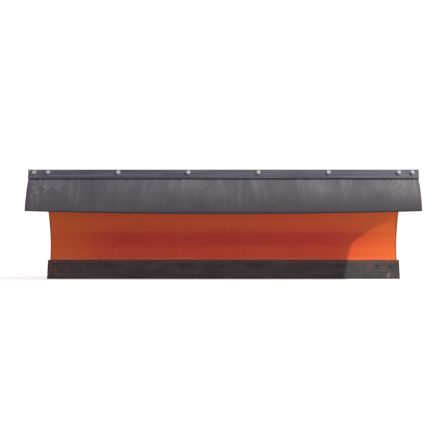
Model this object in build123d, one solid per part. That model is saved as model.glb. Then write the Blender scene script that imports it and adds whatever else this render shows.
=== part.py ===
from build123d import *
import math
import os

# Trip-edge snow blade for a small four-wheel vehicle: a curved moldboard with a bolted wear bar and
# a rubber snow flap, hinged low down on a swivel frame and held upright by two extension springs.
# Millimetres. +X is to the operator's right, -Y is the direction of ploughing, +Z is up.
# All profiles are drawn with the cutting edge at y = 0 and moved back by EDGE_SETBACK at the end,
# so that the origin is on the floor, midway between the flap's lower edge and the swivel plate.

EDGE_SETBACK = 70.9

# Moldboard
BLADE_WIDTH = 1372.0
SKIN = 3.0
LEAN = 10.0
CURVE_RADIUS = 290.0
CURL = 57.0
LIP_LEAN = 12.0
LIP_LENGTH = 40.0
LIP_BEND = 9.0
SKIN_FOOT = 8.0
STRAIGHT_TOP = 80.0

# Wear bar and the angle behind it
WEAR_WIDTH = 1388.0
WEAR_HEIGHT = 76.0
WEAR_THICKNESS = 6.0
WEAR_BEVEL = 1.5
BOLT_ROW = 56.0
BOLT_PITCH = 152.4
END_BOLT_X = 660.0
ANGLE_LEG = 50.0
ANGLE_SHELF = 44.0
ANGLE_THICKNESS = 5.0

# Ribs
RIB_THICKNESS = 6.0
END_RIB_PROUD = 0.6
RIB_DEPTH = 42.0
RIB_TOP = 55.0
RIB_TAPER_FROM = 42.0
RIB_TIP_DEPTH = 12.0
OUTER_RIB_X = 480.0
PIVOT_RIB_X = 150.0
PIVOT_RIB_THICKNESS = 8.0

# Snow flap and its retaining bar
FLAP_WIDTH = 1472.0
FLAP_THICKNESS = 6.0
FLAP_TOP_SLOPE = 34.0
FLAP_HEM_SLOPE = 6.0
FLAP_FREE_LENGTH = 124.0
FLAP_BEND = 30.0
FLAP_CLAMP_FOOT = 4.0
BAR_HEIGHT = 33.0
BAR_THICKNESS = 5.0
BAR_FOOT = 6.0
FLAP_BOLT_ROW = 28.0
FLAP_BOLT_PITCH = 264.0
FLAP_END_BOLT_X = 712.0
TOP_ANGLE_LEG = 32.0
TOP_ANGLE_SHELF = 32.0
TOP_ANGLE_THICKNESS = 4.0
TOP_ANGLE_FOOT = 8.0

# Trip hinge
HINGE_Y = 75.0
HINGE_Z = 110.0
HINGE_ROD_RADIUS = 8.0
HINGE_ROD_HALF = 172.0
BUSH_RADIUS = 11.0
SPACER_RADIUS = 14.0
RUNNING = 0.08
SIDE_GAP = 0.3
HINGE_LOBE = 26.0

# Swivel frame
TUBE_SIZE = 50.0
TUBE_WALL = 4.0
EAR_INNER_X = 132.0
EAR_THICKNESS = 8.0
EAR_TOP = 168.0
EAR_TIP = 22.0
PLATE_THICKNESS = 6.0
PLATE_FRONT = 52.0
PLATE_SHOULDER = 96.0
UPPER_PLATE_HALF = 118.0
LOWER_PLATE_HALF = 104.0
WAIST_HALF = 64.0
WAIST_Y = 146.0
KINGPIN_Y = 190.0
KINGPIN_RADIUS = 10.1
SECTOR_RADIUS = 115.2
SECTOR_HALF_ANGLE = 38.0
LOCK_RADIUS = 95.0
LOCK_HOLE_RADIUS = 8.2
LOCK_STEP = 15.0
LOWER_HUB_RADIUS = 36.0
STOP_BAR_HALF = 160.0
STOP_BAR_HEIGHT = 24.0
STOP_BAR_THICKNESS = 12.0
STOP_BAR_FOOT = 142.0

# Trip springs
SPRING_X = 85.0
ROD_ANGLE = 45.0
ROD_DEPTH = 21.0
SPRING_ROD_RADIUS = 8.0
ROD_OVERHANG = 6.0
GROOVE_DEPTH = 1.0
GROOVE_HALF_WIDTH = 3.2
SWING_Y = 118.0
SWING_Z = 194.0
WIRE_RADIUS = 2.5
COIL_RADIUS = 16.5
HOOK_RADIUS = 14.5
HOOK_REST_PLAY = 3.8
HOOK_NECK = 3.0
PLUG_RADIUS = 13.5
PLUG_LENGTH = 22.0
ROD_LOBE = 17.0
EYE_HEIGHT = 24.0
EYE_WIDTH = 28.0
EYE_CORNER = 10.0
EYE_WIRE_RADIUS = 4.5
EYE_SHANK_RADIUS = 5.0
EYE_SHANK_LENGTH = 84.0
CROSSBAR_DISTANCE = 44.0
CROSSBAR_HALF = 112.0
CROSSBAR_HEIGHT = 36.0
CROSSBAR_THICKNESS = 8.0
POST_X = 52.0
POST_FOOT_LENGTH = 34.0
POST_TIP = 15.0
POST_NOSE = 12.0

# Skid shoes
SKID_X = 330.0
SKID_Y = 112.0
SKID_POST_RADIUS = 12.5
SKID_CLEARANCE = 0.1
SLEEVE_RADIUS = 17.0
SLEEVE_FOOT = 62.0
SLEEVE_TOP = 122.0
SHOE_RADIUS = 58.0
SHOE_SOLE_RADIUS = 40.0
SHOE_HEIGHT = 18.0
SHOE_PLATE = 6.0
SHOE_BOSS_RADIUS = 20.0
SHOE_BOSS_TOP = 30.0
POST_TOP = 162.0
LOCK_PIN_Z = 147.0
LOCK_PIN_RADIUS = 3.5
SET_BOLT_Z = 92.0
SET_BOLT_RADIUS = 5.0
SET_BOLT_REACH = 12.0
SET_HEAD_SIZE = 13.0
SET_HEAD_LENGTH = 8.0
SET_BOSS_RADIUS = 9.0
SET_BOSS_LENGTH = 5.0
PIN_REACH = 10.0
PIN_HEAD = 4.0

# Fasteners: shank radius, width across flats, head height, nut height
M10 = (5.0, 16.0, 6.4, 8.0)
M8 = (4.0, 13.0, 5.3, 6.5)
M16 = (8.0, 24.0, 10.0, 13.0)
WASHER = 2.0
WASHER_SHARE = 0.6
FLANGE_SHARE = 0.62
FLANGE_HEIGHT = 1.2
HOLE_SLACK = 0.3

os.makedirs("parts", exist_ok=True)


def direction(angle):
    """Unit vector in the side view, as (y, z), at an angle up from straight back."""
    return (math.cos(math.radians(angle)), math.sin(math.radians(angle)))


def shifted(point, step, distance):
    return (point[0] + step[0] * distance, point[1] + step[1] * distance)


# Side-view directions: along and square to the lower slope, and along and square to the lip
SLOPE = direction(90.0 - LEAN)
SLOPE_BACK = direction(-LEAN)
LIP = direction(90.0 - LIP_LEAN)
LIP_BACK = direction(-LIP_LEAN)

# Side-view places of the moldboard's front face
CURVE_START = shifted(shifted((0.0, 0.0), SLOPE, STRAIGHT_TOP), SLOPE_BACK, WEAR_THICKNESS)
CURVE_CENTRE = shifted(CURVE_START, SLOPE_BACK, -CURVE_RADIUS)
BEND_CENTRE = shifted(CURVE_CENTRE, direction(CURL), CURVE_RADIUS + LIP_BEND)
LIP_FOOT = shifted(BEND_CENTRE, LIP_BACK, -LIP_BEND)

# Trip spring line, from the wire of the frame's eye bolt, where the spring swings, to the rod
# behind the moldboard, and places along it measured from the swing point
ROD_PLACE = shifted(CURVE_CENTRE, direction(ROD_ANGLE), CURVE_RADIUS + SKIN + ROD_DEPTH)
SWING_PLACE = (SWING_Y, SWING_Z)
SPRING_LENGTH = math.dist(ROD_PLACE, SWING_PLACE)
SPRING_STEP = (
    (ROD_PLACE[0] - SWING_PLACE[0]) / SPRING_LENGTH,
    (ROD_PLACE[1] - SWING_PLACE[1]) / SPRING_LENGTH,
)
LOWER_HOOK = HOOK_RADIUS - WIRE_RADIUS - EYE_WIRE_RADIUS - 0.4
UPPER_HOOK = SPRING_LENGTH - HOOK_REST_PLAY
COIL_FROM = LOWER_HOOK + HOOK_RADIUS + HOOK_NECK
COIL_TO = UPPER_HOOK - HOOK_RADIUS - HOOK_NECK

TUBE_TOP = HINGE_Z + TUBE_SIZE / 2
TUBE_FOOT = HINGE_Z - TUBE_SIZE / 2


def on_slope(along, behind):
    """Side-view point on the lower slope, measured from the cutting edge."""
    return shifted(shifted((0.0, 0.0), SLOPE, along), SLOPE_BACK, behind)


def on_lip(along, behind):
    """Side-view point on the top lip, measured from the foot of its front face."""
    return shifted(shifted(LIP_FOOT, LIP, along), LIP_BACK, behind)


def on_curve(angle, behind):
    """Side-view point on the moldboard's round stretch."""
    return shifted(CURVE_CENTRE, direction(angle), CURVE_RADIUS + behind)


def slab(face_edges, half_width):
    """A side-view outline made as wide as the blade, centred on x = 0."""
    face = make_face(face_edges)
    return extrude(Plane.YZ * face, amount=half_width, both=True)


def plate(face, x_one, x_other):
    """A side-view sketch made into an upright plate between two x places."""
    return Pos(X=min(x_one, x_other)) * extrude(Plane.YZ * face, amount=abs(x_other - x_one))


def outline(points):
    return make_face(Polyline(*points, close=True))


def cylinder_x(radius, x_from, x_to, y, z):
    return Pos((x_from + x_to) / 2, y, z) * Rot(Y=90) * Cylinder(radius, x_to - x_from)


def ring_x(inner, outer, x_from, x_to, y, z):
    return cylinder_x(outer, x_from, x_to, y, z) - cylinder_x(inner, x_from, x_to, y, z)


def frame_at(x, place, step):
    """A working plane at a side-view place, its normal along a side-view direction."""
    return Plane(
        origin=(x, place[0], place[1]),
        x_dir=(1, 0, 0),
        z_dir=(0, step[0], step[1]),
    )


def rod_along(radius, start, end):
    """A round bar along the working plane's normal, between two heights above it."""
    return Pos(Z=(start + end) / 2) * Cylinder(radius, end - start)


def hexagon(across_flats, start, end):
    face = RegularPolygon(across_flats / 2, 6, major_radius=False)
    return Pos(Z=start) * extrude(face, amount=end - start)


def skin_path(behind):
    """Edges of the moldboard's side view, a given depth behind its front face."""
    foot = on_slope(SKIN_FOOT, WEAR_THICKNESS + behind)
    curve_from = on_curve(-LEAN, behind)
    curve_mid = on_curve((CURL - LEAN) / 2, behind)
    curve_to = on_curve(CURL, behind)
    bend_mid = shifted(BEND_CENTRE, direction((CURL - LIP_LEAN) / 2), behind - LIP_BEND)
    bend_to = shifted(BEND_CENTRE, LIP_BACK, behind - LIP_BEND)
    lip_top = shifted(bend_to, LIP, LIP_LENGTH)
    return [
        Line(foot, curve_from),
        ThreePointArc(curve_from, curve_mid, curve_to),
        ThreePointArc(curve_to, bend_mid, bend_to),
        Line(bend_to, lip_top),
    ]


def wear_bolt_places():
    inner = [step * BOLT_PITCH for step in range(-4, 5)]
    return [-END_BOLT_X, *inner, END_BOLT_X]


def lip_bolt_places():
    return [(step + 0.5) * FLAP_BOLT_PITCH for step in range(-3, 3)]


def flap_bolt_places():
    return [-FLAP_END_BOLT_X, *lip_bolt_places(), FLAP_END_BOLT_X]


def drill(shape, places, height, row, step, radius):
    """Round holes through a plate, square to it, at the x places of a bolt row."""
    for x in places:
        shape -= frame_at(x, row(height, 0.0), step) * rod_along(radius, -40.0, 40.0)
    return shape


def moldboard_skin():
    front = skin_path(0.0)
    back = skin_path(SKIN)
    ends = [Line(front[0] @ 0, back[0] @ 0), Line(front[3] @ 1, back[3] @ 1)]
    skin = slab(front + back + ends, BLADE_WIDTH / 2 - RIB_THICKNESS)
    skin = drill(skin, wear_bolt_places(), BOLT_ROW, on_slope, SLOPE_BACK, M10[0] + HOLE_SLACK)
    return drill(skin, lip_bolt_places(), FLAP_BOLT_ROW, on_lip, LIP_BACK, M8[0] + HOLE_SLACK)


def rib_outline(in_front, behind):
    """A strip of the round stretch, tapered near its top, and square to the skin at its foot."""
    inner = SKIN - in_front
    outer = SKIN + behind
    taper_tip = SKIN + RIB_TIP_DEPTH
    middle = (RIB_TOP - LEAN) / 2
    rear_middle = (RIB_TAPER_FROM - LEAN) / 2
    return make_face(
        [
            ThreePointArc(on_curve(-LEAN, inner), on_curve(middle, inner), on_curve(RIB_TOP, inner)),
            Line(on_curve(RIB_TOP, inner), on_curve(RIB_TOP, taper_tip)),
            Line(on_curve(RIB_TOP, taper_tip), on_curve(RIB_TAPER_FROM, outer)),
            ThreePointArc(
                on_curve(RIB_TAPER_FROM, outer), on_curve(rear_middle, outer), on_curve(-LEAN, outer)
            ),
            Line(on_curve(-LEAN, outer), on_curve(-LEAN, inner)),
        ]
    )


def end_rib(side):
    """End plate, level with the skin's end and a little proud of its front face."""
    outer_x = side * BLADE_WIDTH / 2
    inner_x = outer_x - side * RIB_THICKNESS
    foot = outline(
        [
            on_slope(WEAR_HEIGHT + 1.0, WEAR_THICKNESS - END_RIB_PROUD),
            on_slope(STRAIGHT_TOP, WEAR_THICKNESS - END_RIB_PROUD),
            on_slope(STRAIGHT_TOP, WEAR_THICKNESS + SKIN + RIB_DEPTH),
            on_slope(STRAIGHT_TOP - ANGLE_LEG, WEAR_THICKNESS + SKIN + ANGLE_THICKNESS),
            on_slope(SKIN_FOOT, WEAR_THICKNESS + SKIN),
            on_slope(SKIN_FOOT, WEAR_THICKNESS),
            on_slope(WEAR_HEIGHT + 1.0, WEAR_THICKNESS),
        ]
    )
    shape = rib_outline(SKIN + END_RIB_PROUD, RIB_DEPTH) + foot
    return plate(shape, inner_x, outer_x)


def upright(face, middle, thickness):
    """A side-view sketch made into an upright plate centred on an x place."""
    return plate(face, middle - thickness / 2, middle + thickness / 2)


def outer_rib(side):
    return upright(rib_outline(0.0, RIB_DEPTH), side * OUTER_RIB_X, RIB_THICKNESS)


def rib_back_line():
    """Upper and lower side-view points of the straight rear edge that meets the stop bar."""
    return on_curve(15.0, SKIN + RIB_DEPTH), (HINGE_Y + HINGE_LOBE, HINGE_Z + 2.0)


def pivot_rib(side):
    """Rib that carries the hinge bush low down and the spring rod near its top."""
    upper, lower = rib_back_line()
    web = outline([upper, lower, (HINGE_Y, HINGE_Z - 10.0), on_curve(0.0, SKIN + 10.0)])
    lobe = Pos(HINGE_Y, HINGE_Z) * Circle(HINGE_LOBE)
    holes = Pos(HINGE_Y, HINGE_Z) * Circle(BUSH_RADIUS)
    holes += Pos(*ROD_PLACE) * Circle(SPRING_ROD_RADIUS)
    rod_lobe = Pos(*ROD_PLACE) * Circle(ROD_LOBE)
    shape = rib_outline(0.0, RIB_DEPTH) + web + lobe + rod_lobe - holes
    return upright(shape, side * PIVOT_RIB_X, PIVOT_RIB_THICKNESS)


def hinge_bush(side):
    half = PIVOT_RIB_THICKNESS / 2
    middle = side * PIVOT_RIB_X
    inner = HINGE_ROD_RADIUS + RUNNING
    return ring_x(inner, BUSH_RADIUS, middle - half, middle + half, HINGE_Y, HINGE_Z)


def spring_rod():
    """Rod through both pivot ribs, with a groove for each spring's eye."""
    end = PIVOT_RIB_X + PIVOT_RIB_THICKNESS / 2 + ROD_OVERHANG
    rod = cylinder_x(SPRING_ROD_RADIUS, -end, end, *ROD_PLACE)
    inner = SPRING_ROD_RADIUS - GROOVE_DEPTH
    outer = 2 * SPRING_ROD_RADIUS
    for x in (-SPRING_X, SPRING_X):
        rod -= ring_x(inner, outer, x - GROOVE_HALF_WIDTH, x + GROOVE_HALF_WIDTH, *ROD_PLACE)
    return rod


def bottom_angle():
    """Angle iron behind the wear bar: one leg on the skin, one shelf pointing back."""
    back = WEAR_THICKNESS + SKIN
    corner = STRAIGHT_TOP
    points = [
        on_slope(corner - ANGLE_LEG, back),
        on_slope(corner, back),
        on_slope(corner, back + ANGLE_SHELF),
        on_slope(corner - ANGLE_THICKNESS, back + ANGLE_SHELF),
        on_slope(corner - ANGLE_THICKNESS, back + ANGLE_THICKNESS),
        on_slope(corner - ANGLE_LEG, back + ANGLE_THICKNESS),
    ]
    angle = slab([Polyline(*points, close=True)], BLADE_WIDTH / 2 - RIB_THICKNESS)
    return drill(angle, wear_bolt_places(), BOLT_ROW, on_slope, SLOPE_BACK, M10[0] + HOLE_SLACK)


def top_angle():
    """Angle iron behind the lip, its shelf pointing back under the nuts."""
    foot = TOP_ANGLE_FOOT
    points = [
        on_lip(foot, SKIN),
        on_lip(foot + TOP_ANGLE_LEG, SKIN),
        on_lip(foot + TOP_ANGLE_LEG, SKIN + TOP_ANGLE_THICKNESS),
        on_lip(foot + TOP_ANGLE_THICKNESS, SKIN + TOP_ANGLE_THICKNESS),
        on_lip(foot + TOP_ANGLE_THICKNESS, SKIN + TOP_ANGLE_SHELF),
        on_lip(foot, SKIN + TOP_ANGLE_SHELF),
    ]
    angle = slab([Polyline(*points, close=True)], BLADE_WIDTH / 2)
    return drill(angle, lip_bolt_places(), FLAP_BOLT_ROW, on_lip, LIP_BACK, M8[0] + HOLE_SLACK)


def wear_bar():
    points = [
        on_slope(0.0, 0.0),
        on_slope(WEAR_HEIGHT - WEAR_BEVEL, 0.0),
        on_slope(WEAR_HEIGHT, WEAR_BEVEL),
        on_slope(WEAR_HEIGHT, WEAR_THICKNESS),
        on_slope(WEAR_THICKNESS * math.tan(math.radians(LEAN)), WEAR_THICKNESS),
    ]
    bar = slab([Polyline(*points, close=True)], WEAR_WIDTH / 2)
    return drill(bar, wear_bolt_places(), BOLT_ROW, on_slope, SLOPE_BACK, M10[0] + HOLE_SLACK)


def fastener_row(places, height, row, step, one):
    """The same small solid at each x place of a bolt row, joined as one group."""
    return Compound(children=[frame_at(x, row(height, 0.0), step) * one(x) for x in places])


def domed_bolt(head_from, tip, size):
    """Round-headed bolt pointing back along the working plane's normal."""
    radius = size[0]
    head_radius = size[1] / 2
    head_height = 0.5 * size[2]
    cap = Pos(Z=head_from - head_height / 2) * Cylinder(head_radius, head_height)
    cap = fillet(cap.edges().group_by(Axis.Z)[0], 0.8 * head_height)
    return cap + rod_along(radius, head_from, tip)


def flanged_bolt(head_from, tip, size):
    """Hexagon-headed bolt with a round flange under its head."""
    flange_from = head_from - FLANGE_HEIGHT
    flange = rod_along(FLANGE_SHARE * size[1], flange_from, head_from)
    head = hexagon(size[1], head_from - size[2], flange_from)
    return head + flange + rod_along(size[0], head_from, tip)


def washer(inner, outer, start, thickness):
    return rod_along(outer, start, start + thickness) - rod_along(inner, start, start + thickness)


def nut(size, start):
    end = start + size[3]
    return hexagon(size[1], start, end) - rod_along(size[0], start, end)


WEAR_STACK = WEAR_THICKNESS + SKIN + ANGLE_THICKNESS
FLAP_FRONT = -FLAP_THICKNESS
BAR_FRONT = FLAP_FRONT - BAR_THICKNESS
LIP_STACK = SKIN + TOP_ANGLE_THICKNESS


def flap_clamp_back(x):
    """How far behind the lip's front face a flap bolt's washer sits: beyond the blade, on the rubber."""
    return LIP_STACK if abs(x) < BLADE_WIDTH / 2 else 0.0


def wear_bar_bolts():
    tip = WEAR_STACK + WASHER + M10[3] + 3.0
    return fastener_row(
        wear_bolt_places(), BOLT_ROW, on_slope, SLOPE_BACK, lambda x: domed_bolt(0.0, tip, M10)
    )


def wear_bar_washers():
    return fastener_row(
        wear_bolt_places(),
        BOLT_ROW,
        on_slope,
        SLOPE_BACK,
        lambda x: washer(M10[0] + HOLE_SLACK, M10[1] * WASHER_SHARE, WEAR_STACK, WASHER),
    )


def wear_bar_nuts():
    return fastener_row(
        wear_bolt_places(), BOLT_ROW, on_slope, SLOPE_BACK, lambda x: nut(M10, WEAR_STACK + WASHER)
    )


def flap_bolts():
    return fastener_row(
        flap_bolt_places(),
        FLAP_BOLT_ROW,
        on_lip,
        LIP_BACK,
        lambda x: flanged_bolt(BAR_FRONT, flap_clamp_back(x) + WASHER + M8[3] + 2.0, M8),
    )


def flap_washers():
    return fastener_row(
        flap_bolt_places(),
        FLAP_BOLT_ROW,
        on_lip,
        LIP_BACK,
        lambda x: washer(M8[0] + HOLE_SLACK, M8[1] * WASHER_SHARE, flap_clamp_back(x), WASHER),
    )


def flap_nuts():
    return fastener_row(
        flap_bolt_places(),
        FLAP_BOLT_ROW,
        on_lip,
        LIP_BACK,
        lambda x: nut(M8, flap_clamp_back(x) + WASHER),
    )


def flap_path(behind):
    """Edges of the flap's side view: clamped on the lip, bent forward, then drooping to its hem."""
    droop = FLAP_FREE_LENGTH / math.radians(FLAP_TOP_SLOPE - FLAP_HEM_SLOPE)
    top = on_lip(BAR_FOOT + BAR_HEIGHT + 1.0, behind)
    clamp_foot = on_lip(FLAP_CLAMP_FOOT, behind)
    bend_centre = on_lip(FLAP_CLAMP_FOOT, -FLAP_BEND)
    bend_mid_angle = -(LIP_LEAN + FLAP_TOP_SLOPE) / 2
    bend_mid = shifted(bend_centre, direction(bend_mid_angle), FLAP_BEND + behind)
    bend_end = shifted(bend_centre, direction(-FLAP_TOP_SLOPE), FLAP_BEND + behind)
    droop_centre = shifted(bend_centre, direction(-FLAP_TOP_SLOPE), FLAP_BEND + droop)
    droop_mid_angle = 180.0 - (FLAP_TOP_SLOPE + FLAP_HEM_SLOPE) / 2
    droop_mid = shifted(droop_centre, direction(droop_mid_angle), droop - behind)
    foot = shifted(droop_centre, direction(180.0 - FLAP_HEM_SLOPE), droop - behind)
    return [
        Line(top, clamp_foot),
        ThreePointArc(clamp_foot, bend_mid, bend_end),
        ThreePointArc(bend_end, droop_mid, foot),
    ]


def snow_flap():
    front = flap_path(-FLAP_THICKNESS)
    back = flap_path(0.0)
    ends = [Line(front[0] @ 0, back[0] @ 0), Line(front[2] @ 1, back[2] @ 1)]
    flap = slab(front + back + ends, FLAP_WIDTH / 2)
    return drill(flap, flap_bolt_places(), FLAP_BOLT_ROW, on_lip, LIP_BACK, M8[0] + HOLE_SLACK)


def flap_retaining_bar():
    top = BAR_FOOT + BAR_HEIGHT
    points = [
        on_lip(BAR_FOOT, FLAP_FRONT),
        on_lip(top, FLAP_FRONT),
        on_lip(top, BAR_FRONT),
        on_lip(BAR_FOOT, BAR_FRONT),
    ]
    bar = slab([Polyline(*points, close=True)], FLAP_WIDTH / 2)
    return drill(bar, flap_bolt_places(), FLAP_BOLT_ROW, on_lip, LIP_BACK, M8[0] + HOLE_SLACK)


def hinge_rod():
    return cylinder_x(HINGE_ROD_RADIUS, -HINGE_ROD_HALF, HINGE_ROD_HALF, HINGE_Y, HINGE_Z)


def hinge_spacers():
    """Washers between each ear and its pivot rib."""
    start = EAR_INNER_X + EAR_THICKNESS
    end = PIVOT_RIB_X - PIVOT_RIB_THICKNESS / 2 - SIDE_GAP
    ring = ring_x(HINGE_ROD_RADIUS, SPACER_RADIUS, start, end, HINGE_Y, HINGE_Z)
    return Compound(children=[ring, mirror(ring, Plane.YZ)])


def hinge_nuts():
    start = PIVOT_RIB_X + PIVOT_RIB_THICKNESS / 2 + SIDE_GAP
    collar = washer(M16[0], M16[1] * FLANGE_SHARE, 0.0, WASHER)
    one = collar + Pos(Z=WASHER) * nut(M16, 0.0)
    places = [(side, Pos(side * start, HINGE_Y, HINGE_Z)) for side in (-1, 1)]
    return Compound(children=[place * Rot(Y=side * 90) * one for side, place in places])


def cross_tube():
    outer = Box(2 * EAR_INNER_X, TUBE_SIZE, TUBE_SIZE)
    outer = fillet(outer.edges().filter_by(Axis.X), TUBE_WALL)
    inside = TUBE_SIZE - 2 * TUBE_WALL
    return Pos(0, HINGE_Y, HINGE_Z) * (outer - Box(2 * EAR_INNER_X, inside, inside))


def stop_line():
    """Directions along and behind the ribs' straight rear edge."""
    upper, lower = rib_back_line()
    length = math.dist(upper, lower)
    along = ((upper[0] - lower[0]) / length, (upper[1] - lower[1]) / length)
    return along, (along[1], -along[0])


def stop_face_at(z):
    """Side-view point at a height on the stop bar's front face, just behind the ribs."""
    along, back = stop_line()
    lower = shifted(rib_back_line()[1], back, SIDE_GAP)
    return shifted(lower, along, (z - lower[1]) / along[1])


def hinge_ear(side):
    rear = HINGE_Y + TUBE_SIZE / 2
    shape = outline(
        [
            (HINGE_Y - TUBE_SIZE / 2, TUBE_FOOT),
            (rear, TUBE_FOOT),
            stop_face_at(HINGE_Z + 4.0),
            stop_face_at(EAR_TOP),
            (stop_face_at(EAR_TOP)[0] - EAR_TIP, EAR_TOP),
            (HINGE_Y - TUBE_SIZE / 2, TUBE_TOP),
        ]
    )
    shape -= Pos(HINGE_Y, HINGE_Z) * Circle(HINGE_ROD_RADIUS)
    return plate(shape, side * EAR_INNER_X, side * (EAR_INNER_X + EAR_THICKNESS))


def stop_bar():
    """Flat bar across the ears that the pivot ribs lean back on."""
    along, back = stop_line()
    foot = stop_face_at(STOP_BAR_FOOT)
    top = shifted(foot, along, STOP_BAR_HEIGHT)
    points = [foot, top, shifted(top, back, STOP_BAR_THICKNESS), shifted(foot, back, STOP_BAR_THICKNESS)]
    return slab([Polyline(*points, close=True)], STOP_BAR_HALF)


def lock_places():
    """Plan-view places of the angle-lock holes, on an arc behind the kingpin."""
    angles = [math.radians(step * LOCK_STEP) for step in range(-2, 3)]
    return [
        (LOCK_RADIUS * math.sin(angle), KINGPIN_Y + LOCK_RADIUS * math.cos(angle)) for angle in angles
    ]


def swivel_plate_upper():
    """Sector plate: welded on the cross tube, with the kingpin hole and the lock holes."""
    half = math.radians(SECTOR_HALF_ANGLE)
    corner_x = SECTOR_RADIUS * math.sin(half)
    corner_y = KINGPIN_Y + SECTOR_RADIUS * math.cos(half)
    right = [
        (0, PLATE_FRONT),
        (UPPER_PLATE_HALF, PLATE_FRONT),
        (UPPER_PLATE_HALF, PLATE_SHOULDER),
        (WAIST_HALF, WAIST_Y),
        (WAIST_HALF, KINGPIN_Y),
        (corner_x, corner_y),
    ]
    left = [(-x, y) for x, y in reversed(right)]
    face = make_face(
        [
            Polyline(*right),
            ThreePointArc(right[-1], (0, KINGPIN_Y + SECTOR_RADIUS), left[0]),
            Polyline(*left),
        ]
    )
    face -= Pos(0, KINGPIN_Y) * Circle(KINGPIN_RADIUS)
    for x, y in lock_places():
        face -= Pos(x, y) * Circle(LOCK_HOLE_RADIUS)
    return Pos(Z=TUBE_TOP) * extrude(face, amount=PLATE_THICKNESS)


def swivel_plate_lower():
    hub = LOWER_HUB_RADIUS
    right = [(LOWER_PLATE_HALF, PLATE_FRONT), (LOWER_PLATE_HALF, PLATE_SHOULDER), (hub, KINGPIN_Y)]
    left = [(-x, y) for x, y in reversed(right)]
    face = outline(right + left)
    face += Pos(0, KINGPIN_Y) * Circle(hub)
    face -= Pos(0, KINGPIN_Y) * Circle(KINGPIN_RADIUS)
    return Pos(Z=TUBE_FOOT - PLATE_THICKNESS) * extrude(face, amount=PLATE_THICKNESS)


def spring_crossbar():
    """Flat bar square to the springs that the eye bolts pull on."""
    bar = Pos(Z=-CROSSBAR_DISTANCE - CROSSBAR_THICKNESS / 2) * Box(
        2 * CROSSBAR_HALF, CROSSBAR_HEIGHT, CROSSBAR_THICKNESS
    )
    for x in (-SPRING_X, SPRING_X):
        bar -= Pos(X=x) * rod_along(EYE_SHANK_RADIUS + HOLE_SLACK, -2 * CROSSBAR_DISTANCE, 0.0)
    return frame_at(0.0, SWING_PLACE, SPRING_STEP) * bar


def spring_post(side):
    """Upright plate from the swivel plate to the crossbar's front face."""
    across = (SPRING_STEP[1], -SPRING_STEP[0])
    face = shifted(SWING_PLACE, SPRING_STEP, -CROSSBAR_DISTANCE)
    low = shifted(face, across, -CROSSBAR_HEIGHT / 2)
    high = shifted(face, across, CROSSBAR_HEIGHT / 2)
    foot = TUBE_TOP + PLATE_THICKNESS
    front = low[0] - POST_FOOT_LENGTH
    shape = outline(
        [
            (front, foot),
            (low[0], foot),
            low,
            high,
            (high[0] - POST_TIP, high[1]),
            (front, foot + POST_NOSE),
        ]
    )
    return upright(shape, side * POST_X, PLATE_THICKNESS)


def eye_bolt(side):
    """Rod bent into a flat-topped eye: the spring's hook swings on its straight top."""
    loop = Pos(Z=-EYE_HEIGHT / 2) * Rot(X=90) * RectangleRounded(EYE_WIDTH, EYE_HEIGHT, EYE_CORNER)
    wire = loop.face().outer_wire()
    start = Plane(origin=wire @ 0, z_dir=wire % 0)
    eye = sweep(start * Circle(EYE_WIRE_RADIUS), path=wire)
    shank = rod_along(EYE_SHANK_RADIUS, -EYE_SHANK_LENGTH, -EYE_HEIGHT)
    return frame_at(side * SPRING_X, SWING_PLACE, SPRING_STEP) * (eye + shank)


def eye_bolt_nuts():
    """A nut and a lock nut behind the crossbar on each eye bolt."""
    nuts = []
    first = -CROSSBAR_DISTANCE - CROSSBAR_THICKNESS
    for x in (-SPRING_X, SPRING_X):
        plane = frame_at(x, SWING_PLACE, SPRING_STEP)
        for start in (first - M10[3], first - 2 * M10[3] - 0.5):
            nuts.append(plane * nut(M10, start))
    return Compound(children=nuts)


def hook_ring(centre):
    return Pos(Z=centre) * Rot(Y=90) * Torus(HOOK_RADIUS, WIRE_RADIUS)


def trip_spring(side):
    """Close-coiled extension spring as a stack of turns, with its lower eye on the eye bolt."""
    turns = int((COIL_TO - COIL_FROM) / (2 * WIRE_RADIUS))
    pitch = (COIL_TO - COIL_FROM) / turns
    edge = COIL_RADIUS + 0.6 * WIRE_RADIUS
    bumps = []
    for turn in range(turns):
        low = COIL_FROM + turn * pitch
        crest = (COIL_RADIUS + WIRE_RADIUS, low + pitch / 2)
        bumps.append(ThreePointArc((edge, low), crest, (edge, low + pitch)))
    bore = COIL_RADIUS - WIRE_RADIUS
    end_turn = COIL_FROM + 2 * WIRE_RADIUS
    inside = Polyline(
        bumps[-1] @ 1,
        (bore, COIL_TO),
        (bore, end_turn),
        (0, end_turn),
        (0, COIL_FROM),
        bumps[0] @ 0,
    )
    coil = revolve(Plane.XZ * make_face([*bumps, inside]), Axis.Z)
    neck = rod_along(WIRE_RADIUS, LOWER_HOOK + HOOK_RADIUS, COIL_FROM + WIRE_RADIUS)
    spring = coil + neck + hook_ring(LOWER_HOOK)
    return frame_at(side * SPRING_X, SWING_PLACE, SPRING_STEP) * spring


def spring_hook(side):
    """Drop-in hook: a plug held inside the spring's upper turns, and an eye round the rod."""
    plug = rod_along(PLUG_RADIUS, COIL_TO - PLUG_LENGTH, COIL_TO - 1.0)
    plug = chamfer(plug.edges().group_by(Axis.Z)[0], 2.0)
    neck = rod_along(WIRE_RADIUS + 1.0, COIL_TO - 2.0, UPPER_HOOK - HOOK_RADIUS)
    hook = plug + neck + hook_ring(UPPER_HOOK)
    return frame_at(side * SPRING_X, SWING_PLACE, SPRING_STEP) * hook


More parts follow.
